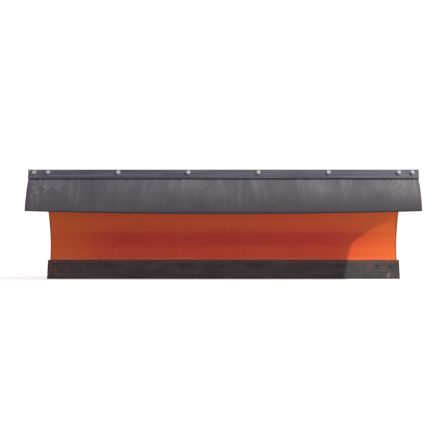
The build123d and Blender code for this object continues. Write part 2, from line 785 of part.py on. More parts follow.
def skid_gusset(side):
    """Plate that joins the skid sleeve to the back of the moldboard."""
    foot_far = on_curve(-LEAN, SKIN + 90.0)
    box = outline([on_curve(-LEAN, -20.0), foot_far, (foot_far[0], SLEEVE_TOP), (0.0, SLEEVE_TOP)])
    inside = Pos(*CURVE_CENTRE) * Circle(CURVE_RADIUS + SKIN)
    gusset = upright(box - inside, side * SKID_X, RIB_THICKNESS)
    return gusset - Pos(side * SKID_X, SKID_Y) * Cylinder(SLEEVE_RADIUS, 4 * SLEEVE_TOP)


def cylinder_y(radius, y_from, y_to):
    """A round bar along y at the height of the skid's set bolt."""
    return Pos(0, (y_from + y_to) / 2, SET_BOLT_Z) * Rot(X=90) * Cylinder(radius, y_to - y_from)


def skid_sleeve(side):
    """Upright tube on the gusset, with a threaded boss at the back."""
    middle = (SLEEVE_FOOT + SLEEVE_TOP) / 2
    length = SLEEVE_TOP - SLEEVE_FOOT
    sleeve = Pos(Z=middle) * Cylinder(SLEEVE_RADIUS, length)
    sleeve += cylinder_y(SET_BOSS_RADIUS, SKID_POST_RADIUS, SLEEVE_RADIUS + SET_BOSS_LENGTH)
    sleeve -= Pos(Z=middle) * Cylinder(SKID_POST_RADIUS + SKID_CLEARANCE, length)
    sleeve -= cylinder_y(SET_BOLT_RADIUS, 0.0, 2 * SLEEVE_RADIUS)
    return Pos(side * SKID_X, SKID_Y) * sleeve


def skid_set_bolt(side):
    """Square-headed set bolt that clamps the post in its sleeve."""
    end = SLEEVE_RADIUS + SET_BOLT_REACH
    shank = cylinder_y(SET_BOLT_RADIUS, SKID_POST_RADIUS + SIDE_GAP, end)
    head = Box(SET_HEAD_SIZE, SET_HEAD_LENGTH, SET_HEAD_SIZE)
    head = Pos(0, end + SET_HEAD_LENGTH / 2, SET_BOLT_Z) * head
    return Pos(side * SKID_X, SKID_Y) * (shank + head)


def skid_shoe(side):
    """Pressed dish that slides on the ground, with a boss for the post."""
    profile = Polyline(
        (0, 0),
        (SHOE_SOLE_RADIUS, 0),
        (SHOE_RADIUS, SHOE_HEIGHT - SHOE_PLATE),
        (SHOE_RADIUS, SHOE_HEIGHT),
        (SHOE_SOLE_RADIUS - 2.0, SHOE_PLATE),
        (SHOE_BOSS_RADIUS, SHOE_PLATE),
        (SHOE_BOSS_RADIUS - 2.0, SHOE_BOSS_TOP),
        (SKID_POST_RADIUS, SHOE_BOSS_TOP),
        (SKID_POST_RADIUS, SHOE_PLATE),
        (0, SHOE_PLATE),
        close=True,
    )
    dish = revolve(Plane.XZ * make_face(profile), Axis.Z)
    return Pos(side * SKID_X, SKID_Y) * dish


def skid_post(side):
    post = rod_along(SKID_POST_RADIUS, SHOE_PLATE, POST_TOP)
    post = chamfer(post.edges().group_by(Axis.Z)[-1], 2.0)
    post -= Pos(Z=LOCK_PIN_Z) * Rot(Y=90) * Cylinder(LOCK_PIN_RADIUS, 4 * SKID_POST_RADIUS)
    return Pos(side * SKID_X, SKID_Y) * post


def skid_lock_pin(side):
    """Cross pin through the top of the post, with a round head on its outer end."""
    half = SKID_POST_RADIUS + PIN_REACH
    pin = Pos(Z=LOCK_PIN_Z) * Rot(Y=90) * Cylinder(LOCK_PIN_RADIUS, 2 * half)
    head = Rot(Y=90) * Cylinder(2 * LOCK_PIN_RADIUS, PIN_HEAD)
    head = Pos(side * (half + PIN_HEAD / 2), 0, LOCK_PIN_Z) * head
    return Pos(side * SKID_X, SKID_Y) * (pin + head)


def write(name, shape):
    export_step(Pos(Y=-EDGE_SETBACK) * shape, "parts/" + name + ".step")


write("moldboard_skin", moldboard_skin())
write("bottom_angle", bottom_angle())
write("top_angle", top_angle())
write("spring_rod", spring_rod())
write("wear_bar", wear_bar())
write("wear_bar_bolts", wear_bar_bolts())
write("wear_bar_washers", wear_bar_washers())
write("wear_bar_nuts", wear_bar_nuts())
write("snow_flap", snow_flap())
write("flap_retaining_bar", flap_retaining_bar())
write("flap_bolts", flap_bolts())
write("flap_washers", flap_washers())
write("flap_nuts", flap_nuts())
write("hinge_rod", hinge_rod())
write("hinge_spacers", hinge_spacers())
write("hinge_nuts", hinge_nuts())
write("cross_tube", cross_tube())
write("stop_bar", stop_bar())
write("swivel_plate_upper", swivel_plate_upper())
write("swivel_plate_lower", swivel_plate_lower())
write("spring_crossbar", spring_crossbar())
write("eye_bolt_nuts", eye_bolt_nuts())

for side, name in ((-1, "left"), (1, "right")):
    write("end_rib_" + name, end_rib(side))
    write("outer_rib_" + name, outer_rib(side))
    write("pivot_rib_" + name, pivot_rib(side))
    write("hinge_bush_" + name, hinge_bush(side))
    write("hinge_ear_" + name, hinge_ear(side))
    write("spring_post_" + name, spring_post(side))
    write("eye_bolt_" + name, eye_bolt(side))
    write("trip_spring_" + name, trip_spring(side))
    write("spring_hook_" + name, spring_hook(side))
    write("skid_gusset_" + name, skid_gusset(side))
    write("skid_sleeve_" + name, skid_sleeve(side))
    write("skid_set_bolt_" + name, skid_set_bolt(side))
    write("skid_shoe_" + name, skid_shoe(side))
    write("skid_post_" + name, skid_post(side))
    write("skid_lock_pin_" + name, skid_lock_pin(side))
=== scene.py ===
"""Looks of the trip-edge plow blade: camera, light, materials, rubber flap, coil springs and small
welded and threaded detail. Everything is in metres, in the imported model's own frame."""

import math

import bpy
import numpy as np
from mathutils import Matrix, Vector, noise


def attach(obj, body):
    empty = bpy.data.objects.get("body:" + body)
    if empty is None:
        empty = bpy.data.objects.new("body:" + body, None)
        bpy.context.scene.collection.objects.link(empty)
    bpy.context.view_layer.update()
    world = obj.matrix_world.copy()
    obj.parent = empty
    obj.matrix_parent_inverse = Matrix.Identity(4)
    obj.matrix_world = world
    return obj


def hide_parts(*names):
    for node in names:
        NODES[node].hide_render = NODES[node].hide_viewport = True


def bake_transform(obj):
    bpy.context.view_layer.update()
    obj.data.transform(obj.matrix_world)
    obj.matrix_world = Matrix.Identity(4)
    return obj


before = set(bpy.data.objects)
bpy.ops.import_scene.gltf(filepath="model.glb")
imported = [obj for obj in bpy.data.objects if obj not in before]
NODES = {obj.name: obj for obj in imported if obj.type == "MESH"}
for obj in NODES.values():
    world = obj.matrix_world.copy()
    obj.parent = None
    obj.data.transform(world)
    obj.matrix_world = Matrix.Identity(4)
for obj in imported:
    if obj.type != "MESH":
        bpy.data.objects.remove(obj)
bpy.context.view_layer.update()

# Camera: straight in front of the blade, a little above its middle
CAMERA_PLACE = (0.002, -2.8709, 0.2158)
CAMERA_LENS = 57.24
SENSOR_WIDTH = 36.0

# Key lamp: its direction and distance from the right-hand half of the blade
KEY_AZIMUTH = math.radians(61.0)
KEY_ELEVATION = math.radians(45.0)
KEY_TARGET = (0.50, -0.10, 0.20)
KEY_DISTANCE = 5.0
KEY_SIZE = 0.13
KEY_POWER = 304.0
KEY_COLOUR = (1.0, 1.0, 0.90)

# Soft pink fill from all round, and the white that the camera sees behind the blade
FILL_COLOUR = (1.0, 0.79, 0.88, 1.0)
FILL_STRENGTH = 0.69
BACKDROP_COLOUR = (1.0, 1.0, 1.0, 1.0)
BACKDROP_STRENGTH = 1.1

# Floor: half its width, and its gap under the cutting edge and the skids
FLOOR_HALF = 30.0
FLOOR_GAP = 0.0006

SIDES = ((-1, "left"), (1, "right"))

# Side-view places of the blade, as (y, z)
CURVE_CENTRE = (-0.33669, 0.12814)
CURVE_RADIUS = 0.290
SKIN = 0.003
LIP_FOOT = (-0.18265, 0.380734)
LIP_LEAN = math.radians(12.0)

# Rubber flap: its profile from the clamp down
FLAP_HALF = 0.736
FLAP_THICKNESS = 0.006
FLAP_CLAMP = (0.004, 0.040)
FLAP_CLAMP_ROWS = (FLAP_CLAMP[1], 0.0385, 0.030, 0.018, 0.009)
FLAP_BEND = 0.030
FLAP_BEND_STEPS = 7
FLAP_DROP_STEPS = 26
FLAP_TOP_SLOPE = math.radians(34.0)
FLAP_HEM_SLOPE = math.radians(6.0)
FLAP_FREE = 0.124

# Flap: how it hangs longer and more upright at mid-span, and shorter and kicked out at the ends
MIDDLE_SAG = 0.0055
MIDDLE_SAG_TURN = math.radians(5.0)
END_RISE = 0.004
END_KICK = math.radians(2.0)

# Flap: the rows from the top that stay smooth, how its edges are drawn in to look round, the steps
# along its width, and where its crimped ends start
HELD_ROWS = 8
CLAMP_GAP = 0.0002
HEM_ROUNDING = (0.0010, 0.0003)
END_STEPS = (0.0, 0.0006, 0.0018)
END_ROUNDING = 0.0012
FLAP_COLUMNS = 230
CRIMP_START = 0.60

# Springs: the line from the eye bolt to the rod behind the moldboard, the coil, the lower hook, and
# the wire's bend between them
SPRING_X = 0.085
SWING = (0.0471, 0.194)
SPRING_STEP = (-0.719517, 0.694475)
WIRE = 0.0025
COIL_RADIUS = 0.0165
COIL_SPAN = (0.0246, 0.2035)
COIL_TURNS = 35
COIL_STEPS = 22
COIL_START = math.radians(112.0)
HOOK_CENTRE = 0.0071
HOOK_RADIUS = 0.0145
HOOK_ARC = (math.radians(32.0), math.radians(344.0))
HOOK_STEPS = 31
HOOK_TO_COIL = ((0.0, 0.0035, 0.0222), (0.0002, 0.0100, 0.0236), (-0.0022, 0.0142, 0.0254))

# Eye bolt thread, along the spring's line behind the eye
THREAD_PITCH = 0.0017
THREAD_RADIUS = 0.0050
THREAD_SPAN = (-0.083, -0.034)
THREAD_STEPS = 14
THREAD_RIDGE = 0.00045

# Ribs: their middles, measured from the blade's middle plane, and half their thicknesses
OUTER_RIB_X = 0.480
PIVOT_RIB_X = 0.150
END_RIB_X = 0.683
RIB_HALF = 0.003
PIVOT_RIB_HALF = 0.004
END_RIB_INSIDE = END_RIB_X - RIB_HALF

# Skids: their middle, and the hairpin clip's place, wire and outline, its length drawn in by a share
SKID_X = 0.330
CLIP_INSET = 0.0195
CLIP_PLACE = (0.0411, 0.147)
CLIP_WIRE = 0.00085
CLIP_SQUASH = 0.45
CLIP_SHAPE = (
    (0.012, 0.0), (0.004, 0.0), (-0.006, 0.0), (-0.016, 0.0), (-0.024, 0.0005), (-0.030, 0.004),
    (-0.031, 0.010), (-0.026, 0.0135), (-0.020, 0.0115), (-0.015, 0.0062), (-0.009, 0.0050),
    (-0.003, 0.0062), (0.001, 0.0064), (0.006, 0.0048), (0.010, 0.0058), (0.0135, 0.0085),
)

# Welds: bead sizes, their ripple and fading ends, and the stitches up the ribs
STITCH_SIZE = 0.0027
FRAME_BEAD_SIZE = 0.0030
BEAD_STEP = 0.0009
BEAD_RIPPLE = 0.0031
BEAD_FADE = 0.003
STITCH_OFFSET = 0.0012
STITCH_SHARE = 0.55
STITCH_STEPS = 8
RIB_STITCHES = 6
RIB_ARC = (math.radians(-8.0), math.radians(53.0))
GUSSET_ARC = (math.radians(-7.0), math.radians(-2.5))

# Trip frame: its tube and swivel plates from the side, and the beads beside its ears and posts
TUBE_BACK = 0.0291
TUBE_TOP = 0.135
TUBE_FOOT = 0.085
PLATE_FRONT = -0.0192
EAR_X = 0.1308
EAR_WELD = (-0.014, 0.012)
POST_X = 0.052
POST_HALF = 0.0040
POST_WELD = (0.035, 0.064)
POST_WELD_Z = 0.1420


def side_direction(angle):
    """Unit (y, z) at an angle up from straight back."""
    return np.array([math.cos(angle), math.sin(angle)])


# ---------------------------------------------------------------- mesh helpers


def make_object(name, points, faces, smooth=True):
    mesh = bpy.data.meshes.new(name)
    mesh.from_pydata([tuple(p) for p in points], [], faces)
    mesh.validate()
    mesh.polygons.foreach_set("use_smooth", [smooth] * len(mesh.polygons))
    obj = bpy.data.objects.new(name, mesh)
    bpy.context.scene.collection.objects.link(obj)
    return obj


def smooth_path(points, steps):
    """Catmull-Rom curve through the points, with a number of steps between each two."""
    p = [np.array(q, float) for q in points]
    p = [2 * p[0] - p[1], *p, 2 * p[-1] - p[-2]]
    out = []
    for a, b, c, d in zip(p[:-3], p[1:-2], p[2:-1], p[3:]):
        for k in range(steps):
            t = k / steps
            out.append(
                0.5 * (2 * b + (c - a) * t + (2 * a - 5 * b + 4 * c - d) * t * t
                       + (3 * b - a - 3 * c + d) * t ** 3)
            )
    out.append(p[-2])
    return out


def tube(path, radius, sides=8, start=0):
    """Points and faces of a round bar along a path, its points counted from start. The radius may
    be a number or one per point."""
    path = [np.array(p, float) for p in path]
    count = len(path)
    radii = radius if hasattr(radius, "__len__") else [radius] * count
    points, faces = [], []
    normal = None
    for k, p in enumerate(path):
        before = path[k - 1] if k else p
        after = path[k + 1] if k < count - 1 else p
        tangent = (after - before) / np.linalg.norm(after - before)
        if normal is None:
            normal = np.array([1.0, 0.0, 0.0] if abs(tangent[0]) < 0.9 else [0.0, 1.0, 0.0])
        normal = normal - tangent * normal.dot(tangent)
        normal /= np.linalg.norm(normal)
        other = np.cross(tangent, normal)
        for s in range(sides):
            turn = 2 * math.pi * s / sides
            points.append(p + radii[k] * (math.cos(turn) * normal + math.sin(turn) * other))
    for k in range(count - 1):
        low, high = start + k * sides, start + (k + 1) * sides
        for s in range(sides):
            n = (s + 1) % sides
            faces.append((low + s, low + n, high + n, high + s))
    faces.append(tuple(start + s for s in reversed(range(sides))))
    faces.append(tuple(start + (count - 1) * sides + s for s in range(sides)))
    return points, faces


def tubes(name, paths, radius, sides=8):
    """One object made of several bars of one radius, or of (path, radii) pairs."""
    points, faces = [], []
    for path in paths:
        radii = radius
        if isinstance(path, tuple):
            path, radii = path
        more, their = tube(path, radii, sides, len(points))
        points += more
        faces += their
    return make_object(name, points, faces)


# ---------------------------------------------------------------- material helpers


class Surface:
    """A node material with a Principled shader, and short ways to add nodes to it."""

    def __init__(self, name):
        self.material = bpy.data.materials.new(name)
        self.material.use_nodes = True
        self.tree = self.material.node_tree
        self.tree.nodes.clear()
        self.shader = self.add("BsdfPrincipled")
        output = self.add("OutputMaterial")
        self.tree.links.new(self.shader.outputs["BSDF"], output.inputs["Surface"])
        self.place = self.add("TexCoord").outputs["Object"]
        self.height = None

    def add(self, kind, inputs=None, **settings):
        node = self.tree.nodes.new("ShaderNode" + kind)
        for key, value in settings.items():
            setattr(node, key, value)
        for key, value in (inputs or {}).items():
            if isinstance(value, bpy.types.NodeSocket):
                self.tree.links.new(value, node.inputs[key])
            else:
                node.inputs[key].default_value = value
        return node

    def stretched(self, x, y, z):
        return self.add("Mapping", {"Vector": self.place, "Scale": (x, y, z)}).outputs["Vector"]

    def noise(self, scale, detail=4.0, rough=0.55, vector=None, warp=0.0):
        inputs = {
            "Vector": vector or self.place,
            "Scale": scale,
            "Detail": detail,
            "Roughness": rough,
            "Distortion": warp,
        }
        return self.add("TexNoise", inputs).outputs["Fac"]

    def ramp(self, value, low, high, out_low=0.0, out_high=1.0):
        inputs = {
            "Value": value,
            "From Min": low,
            "From Max": high,
            "To Min": out_low,
            "To Max": out_high,
        }
        node = self.add("MapRange", inputs, clamp=True, interpolation_type="SMOOTHSTEP")
        return node.outputs["Result"]

    def math(self, operation, a, b):
        return self.add("Math", {0: a, 1: b}, operation=operation).outputs[0]

    def times(self, a, b):
        return self.math("MULTIPLY", a, b)

    def mix(self, share, a, b, blend="MIX"):
        node = self.add("Mix", {0: share}, data_type="RGBA", blend_type=blend)
        for key, value in ((6, a), (7, b)):
            if isinstance(value, bpy.types.NodeSocket):
                self.tree.links.new(value, node.inputs[key])
            else:
                node.inputs[key].default_value = (*value, 1.0)
        return node.outputs[2]

    def axis(self, name):
        return self.add("SeparateXYZ", {"Vector": self.place}).outputs[name]

    def reach(self, centre):
        """Side-view distance from a (y, z) centre."""
        inputs = {0: self.place, 1: (0.0, *centre)}
        offset = self.add("VectorMath", inputs, operation="SUBTRACT").outputs[0]
        flat = self.add("VectorMath", {0: offset, 1: (0.0, 1.0, 1.0)}, operation="MULTIPLY").outputs[0]
        return self.add("VectorMath", {0: flat}, operation="LENGTH").outputs["Value"]

    def across(self):
        """Distance from the middle plane."""
        return self.add("Math", {0: self.axis("X")}, operation="ABSOLUTE").outputs[0]

    def bump(self, value, strength, depth):
        inputs = {"Height": value, "Strength": strength, "Distance": depth}
        if self.height is not None:
            inputs["Normal"] = self.height
        self.height = self.add("Bump", inputs).outputs["Normal"]

    def finish(self, **sockets):
        """Sets or links the shader's sockets, their names written with underscores."""
        for key, value in sockets.items():
            socket = self.shader.inputs[key.replace("_", " ").title()]
            if isinstance(value, bpy.types.NodeSocket):
                self.tree.links.new(value, socket)
            else:
                socket.default_value = (*value, 1.0) if isinstance(value, tuple) else value
        if self.height is not None:
            self.tree.links.new(self.height, self.shader.inputs["Normal"])
        return self.material


# ---------------------------------------------------------------- materials


def orange_painted_light(s, colour, up, across, front):
    """Painted light and shade: a lighter upper part for the dim grazing light on the curl, a crimson
    band across the front face as a painted reflection, and yellower ends for the warmer orange in the
    key light.
    """
    # Painted light: the upper part is lighter, making up for the dim grazing light on the curl
    colour = s.mix(s.ramp(up, 0.165, 0.225, 0.0, 0.85), colour, (0.92, 0.122, 0.022))
    # Painted reflection: a darker crimson band across the front face only
    band = s.times(s.times(s.ramp(up, 0.115, 0.140), s.ramp(up, 0.195, 0.165)), front)
    colour = s.mix(s.times(band, 0.80), colour, (0.68, 0.028, 0.016))
    # Painted light: yellower ends, standing in for the warmer orange of the paint under the key lamp
    ends = s.ramp(across, 0.40, 0.66)
    return s.mix(s.times(ends, 0.75), colour, (0.84, 0.152, 0.011))


def orange_mottle(s, colour, scratched):
    """Long dull streaks, fine mottling and pale scratches."""
    streak = s.noise(14.0, 4.0, 0.6, s.stretched(0.12, 1.0, 2.4))
    colour = s.mix(s.ramp(streak, 0.5, 0.72, 0.0, 0.30), colour, (0.58, 0.062, 0.010))
    mottle = s.noise(60.0, 5.0, 0.65)
    colour = s.mix(s.ramp(mottle, 0.52, 0.72, 0.0, 0.16), colour, (0.84, 0.155, 0.026))
    return s.mix(s.times(scratched, 0.30), colour, (0.93, 0.26, 0.11))


def orange_wear_and_highlight(s, colour, up, across, reach):
    """Scuffs low down, grime, a painted highlight line just above the wear bar, and the end ribs'
    darker front edge.
    """
    scuff = s.times(s.ramp(s.noise(90.0, 8.0, 0.7), 0.56, 0.66), s.ramp(up, 0.135, 0.07))
    colour = s.mix(s.times(scuff, 0.45), colour, (0.30, 0.095, 0.05))
    grime = s.ramp(s.noise(7.0, 6.0, 0.7), 0.50, 0.78, 0.0, 0.14)
    colour = s.mix(grime, colour, (0.22, 0.05, 0.03))
    # Painted highlight: a pale, patchy line just above the wear bar
    patchy = s.ramp(s.noise(9.0, 7.0, 0.6), 0.30, 0.66, 0.10, 0.55)
    rubbed = s.times(s.ramp(up, 0.0855, 0.0800), patchy)
    colour = s.mix(rubbed, colour, (0.84, 0.26, 0.13))
    front_edge = s.ramp(reach, CURVE_RADIUS + 0.004, CURVE_RADIUS + 0.002)
    on_rib = s.ramp(across, END_RIB_INSIDE - 0.0004, END_RIB_INSIDE + 0.0006)
    return s.mix(s.times(s.times(on_rib, front_edge), 0.6), colour, (0.30, 0.105, 0.032))


def orange_paint():
    s = Surface("orange_powder_coat")
    up = s.axis("Z")
    across = s.across()
    reach = s.reach(CURVE_CENTRE)
    front = s.ramp(reach, CURVE_RADIUS + 0.0020, CURVE_RADIUS + 0.0010)
    scratched = s.ramp(s.noise(34.0, 8.0, 0.62, s.stretched(0.16, 1.0, 5.0), 0.4), 0.66, 0.70)
    cloud = s.noise(2.6, 3.0, 0.5, s.stretched(1.0, 1.0, 1.6))
    colour = s.mix(s.ramp(cloud, 0.36, 0.66), (0.74, 0.062, 0.013), (0.82, 0.083, 0.014))
    colour = orange_painted_light(s, colour, up, across, front)
    colour = orange_mottle(s, colour, scratched)
    colour = orange_wear_and_highlight(s, colour, up, across, reach)
    roughness = s.ramp(s.noise(22.0, 5.0, 0.6), 0.3, 0.7, 0.40, 0.54)
    roughness = s.math("ADD", roughness, s.times(scratched, 0.12))
    s.bump(s.noise(520.0, 2.0, 0.5), 0.07, 0.0006)
    s.bump(s.noise(5.0, 2.0, 0.45), 0.35, 0.006)
    s.bump(scratched, -0.10, 0.0004)
    return s.finish(base_color=colour, roughness=roughness)


def black_paint():
    s = Surface("black_powder_coat")
    colour = s.mix(s.noise(9.0, 4.0), (0.014, 0.014, 0.016), (0.040, 0.040, 0.043))
    dust = s.ramp(s.noise(34.0, 7.0, 0.68), 0.52, 0.74, 0.0, 0.35)
    colour = s.mix(dust, colour, (0.13, 0.115, 0.10))
    chip = s.ramp(s.noise(150.0, 5.0, 0.6), 0.70, 0.73)
    colour = s.mix(s.times(chip, 0.7), colour, (0.22, 0.20, 0.19))
    s.bump(s.noise(650.0, 2.0, 0.5), 0.10, 0.0006)
    s.bump(chip, -0.20, 0.0004)
    roughness = s.ramp(s.noise(40.0, 5.0), 0.3, 0.7, 0.34, 0.56)
    return s.finish(base_color=colour, roughness=roughness)


def wear_steel():
    """Dark mill scale, rubbed along its length, with rust and scuffs towards the bar's ends."""
    s = Surface("worn_hot_rolled_steel")
    scale = s.noise(16.0, 6.0, 0.65, s.stretched(0.5, 1.0, 1.6))
    colour = s.mix(s.ramp(scale, 0.35, 0.68), (0.038, 0.039, 0.040), (0.066, 0.070, 0.071))
    rub = s.noise(70.0, 7.0, 0.6, s.stretched(0.10, 1.0, 4.0))
    colour = s.mix(s.ramp(rub, 0.58, 0.72, 0.0, 0.5), colour, (0.16, 0.16, 0.165))
    ends = s.ramp(s.across(), 0.50, 0.68)
    rust = s.ramp(s.noise(42.0, 7.0, 0.7), 0.50, 0.64)
    rust = s.times(rust, s.math("ADD", s.times(ends, 0.80), 0.16))
    colour = s.mix(rust, colour, (0.20, 0.085, 0.05))
    bare = s.ramp(s.noise(30.0, 8.0, 0.75, s.stretched(1.0, 1.0, 0.5)), 0.60, 0.68)
    bare = s.times(bare, s.math("ADD", s.times(ends, 0.80), 0.08))
    colour = s.mix(bare, colour, (0.30, 0.30, 0.30))
    up = s.axis("Z")
    patchy = s.ramp(s.noise(20.0, 6.0, 0.65), 0.30, 0.60, 0.45, 0.95)
    crown = s.times(s.ramp(up, 0.060, 0.071), patchy)
    colour = s.mix(crown, colour, (0.150, 0.062, 0.033))
    edge = s.ramp(up, 0.012, 0.002)
    colour = s.mix(s.times(edge, 0.55), colour, (0.028, 0.028, 0.028))
    s.bump(s.noise(240.0, 6.0, 0.6), 0.16, 0.0008)
    s.bump(rub, 0.12, 0.001)
    roughness = s.ramp(rub, 0.35, 0.75, 0.62, 0.42)
    return s.finish(base_color=colour, roughness=roughness, metallic=0.25)


def flap_rubber():
    """Dusty moulded rubber: upright streaks, fine cloudy mottling and stress marks at the ends, with
    painted shade darkening it towards the hem.
    """
    s = Surface("dusty_rubber")
    cloud = s.noise(5.0, 5.0, 0.6)
    colour = s.mix(s.ramp(cloud, 0.34, 0.68), (0.064, 0.067, 0.084), (0.102, 0.110, 0.128))
    tint = s.noise(9.0, 4.0, 0.6, s.stretched(1.0, 0.3, 0.3))
    colour = s.mix(s.ramp(tint, 0.50, 0.70, 0.0, 0.55), colour, (0.080, 0.071, 0.108))
    streak = s.noise(30.0, 5.0, 0.62, s.stretched(1.0, 0.2, 0.16))
    colour = s.mix(s.ramp(streak, 0.46, 0.70, 0.0, 0.50), colour, (0.165, 0.175, 0.192))
    dark = s.noise(46.0, 6.0, 0.68, s.stretched(1.0, 0.3, 0.35))
    colour = s.mix(s.ramp(dark, 0.52, 0.70, 0.0, 0.6), colour, (0.047, 0.043, 0.060))
    across = s.across()
    ends = s.ramp(across, 0.56, 0.72)
    fleck = s.ramp(s.noise(95.0, 6.0, 0.7, s.stretched(1.0, 1.0, 0.7)), 0.53, 0.66)
    fleck = s.times(ends, fleck)
    colour = s.mix(s.times(fleck, 0.62), colour, (0.30, 0.295, 0.31))
    up = s.axis("Z")
    # Painted shade: darker towards the hem, where the sheet hangs more upright, and more so towards
    # the right end
    hem = s.times(s.ramp(up, 0.385, 0.272), s.ramp(s.axis("X"), -0.30, 0.50, 0.62, 0.92))
    colour = s.mix(hem, colour, (0.048, 0.047, 0.054))
    cut_ends = s.ramp(across, FLAP_HALF - 0.008, FLAP_HALF - 0.002)
    cut = s.math("MAXIMUM", cut_ends, s.ramp(up, 0.266, 0.2615))
    colour = s.mix(s.times(cut, 0.6), colour, (0.030, 0.028, 0.034))
    s.bump(s.noise(420.0, 4.0, 0.6), 0.16, 0.0006)
    s.bump(s.noise(26.0, 4.0, 0.6, s.stretched(1.0, 0.4, 0.25)), 0.35, 0.002)
    roughness = s.ramp(s.noise(18.0, 5.0), 0.3, 0.7, 0.56, 0.74)
    return s.finish(base_color=colour, roughness=roughness)


def bar_steel():
    s = Surface("dull_rolled_bar")
    grain = s.noise(60.0, 6.0, 0.6, s.stretched(0.06, 1.0, 3.0))
    colour = s.mix(s.ramp(grain, 0.35, 0.7), (0.070, 0.078, 0.102), (0.130, 0.144, 0.178))
    blotch = s.ramp(s.noise(14.0, 6.0, 0.7), 0.5, 0.72, 0.0, 0.5)
    colour = s.mix(blotch, colour, (0.050, 0.050, 0.072))
    ends = s.ramp(s.across(), 0.60, 0.70)
    fleck = s.ramp(s.noise(120.0, 6.0, 0.7), 0.54, 0.66)
    colour = s.mix(s.times(s.times(ends, fleck), 0.5), colour, (0.34, 0.33, 0.34))
    s.bump(grain, 0.12, 0.0008)
    s.bump(s.noise(380.0, 4.0, 0.6), 0.08, 0.0005)
    roughness = s.ramp(grain, 0.3, 0.7, 0.42, 0.60)
    return s.finish(base_color=colour, roughness=roughness, metallic=0.35)


def zinc_plate():
    s = Surface("bright_zinc")
    cloud = s.noise(85.0, 5.0, 0.6)
    colour = s.mix(s.ramp(cloud, 0.3, 0.7), (0.42, 0.46, 0.46), (0.62, 0.68, 0.67))
    tint = s.ramp(s.noise(40.0, 3.0), 0.48, 0.7, 0.0, 0.35)
    colour = s.mix(tint, colour, (0.62, 0.60, 0.50))
    s.bump(s.noise(900.0, 3.0, 0.6), 0.10, 0.0004)
    roughness = s.ramp(cloud, 0.3, 0.7, 0.26, 0.46)
    return s.finish(base_color=colour, roughness=roughness, metallic=0.72)


def spring_steel():
    s = Surface("oiled_spring_wire")
    cloud = s.noise(120.0, 5.0, 0.6)
    colour = s.mix(s.ramp(cloud, 0.3, 0.7), (0.16, 0.16, 0.17), (0.33, 0.33, 0.34))
    rust = s.ramp(s.noise(60.0, 6.0, 0.7), 0.56, 0.72, 0.0, 0.6)
    colour = s.mix(rust, colour, (0.17, 0.08, 0.045))
    s.bump(s.noise(700.0, 3.0, 0.6), 0.12, 0.0004)
    roughness = s.ramp(cloud, 0.3, 0.7, 0.30, 0.46)
    return s.finish(base_color=colour, roughness=roughness, metallic=0.8)


def skid_iron():
    """Cast iron: grainy and dark above, rubbed bright low down."""
    s = Surface("rubbed_cast_iron")
    grain = s.noise(130.0, 7.0, 0.7)
    colour = s.mix(s.ramp(grain, 0.35, 0.7), (0.045, 0.043, 0.042), (0.12, 0.115, 0.11))
    rust = s.ramp(s.noise(48.0, 6.0, 0.7), 0.52, 0.68, 0.0, 0.55)
    colour = s.mix(rust, colour, (0.16, 0.075, 0.042))
    worn = s.ramp(s.axis("Z"), 0.007, 0.001)
    colour = s.mix(s.times(worn, 0.8), colour, (0.42, 0.41, 0.40))
    s.bump(s.noise(330.0, 6.0, 0.7), 0.35, 0.001)
    roughness = s.ramp(grain, 0.3, 0.7, 0.48, 0.72)
    return s.finish(base_color=colour, roughness=roughness, metallic=0.45)


def bush_bronze():
    s = Surface("oiled_bronze")
    cloud = s.noise(110.0, 5.0, 0.6)
    colour = s.mix(s.ramp(cloud, 0.3, 0.7), (0.40, 0.25, 0.10), (0.66, 0.46, 0.22))
    s.bump(s.noise(800.0, 3.0), 0.08, 0.0004)
    roughness = s.ramp(cloud, 0.3, 0.7, 0.24, 0.42)
    return s.finish(base_color=colour, roughness=roughness, metallic=0.9)


def floor_paper():
    """Pale paper, a little green against the pink fill, that glows as painted light: weakly near the
    blade and white further away. To all but the camera it is a plain grey, so that it throws less
    light back up than it seems to."""
    s = Surface("pale_floor")
    colour = s.mix(s.noise(3.0, 4.0), (0.78, 0.90, 0.85), (0.82, 0.94, 0.89))
    reach = s.add("VectorMath", {0: s.place}, operation="LENGTH").outputs["Value"]
    # Painted light: the floor glows, weakly near the blade and white further out
    lift = s.ramp(reach, 1.2, 3.6, 0.42, 1.0)
    s.bump(s.noise(300.0, 3.0), 0.03, 0.0004)
    s.finish(base_color=colour, roughness=0.9, emission_color=(1.0, 1.0, 1.0), emission_strength=lift)
    bounce = s.add("BsdfDiffuse", {"Color": (0.42, 0.42, 0.42, 1.0)})
    rays = s.add("LightPath")
    choice = s.add("MixShader", {0: rays.outputs["Is Camera Ray"]})
    output = next(n for n in s.tree.nodes if n.bl_idname == "ShaderNodeOutputMaterial")
    s.tree.links.new(bounce.outputs[0], choice.inputs[1])
    s.tree.links.new(s.shader.outputs[0], choice.inputs[2])
    s.tree.links.new(choice.outputs[0], output.inputs["Surface"])
    return s.material


FINISHES = {
    "orange_paint": orange_paint(),
    "black_paint": black_paint(),
    "wear_steel": wear_steel(),
    "flap_rubber": flap_rubber(),
    "bar_steel": bar_steel(),
    "zinc_plate": zinc_plate(),
    "spring_steel": spring_steel(),
    "skid_iron": skid_iron(),
    "bush_bronze": bush_bronze(),
}


def dress(node):
    """Gives each material slot of a CAD node its finish."""
    for place in node.material_slots:
        place.material = FINISHES[place.material.name.split(".")[0]]


def add_piece(piece, slot, body=None):
    piece.data.materials.append(FINISHES[slot])
    if body:
        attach(piece, body)
    return piece


# ---------------------------------------------------------------- rubber flap


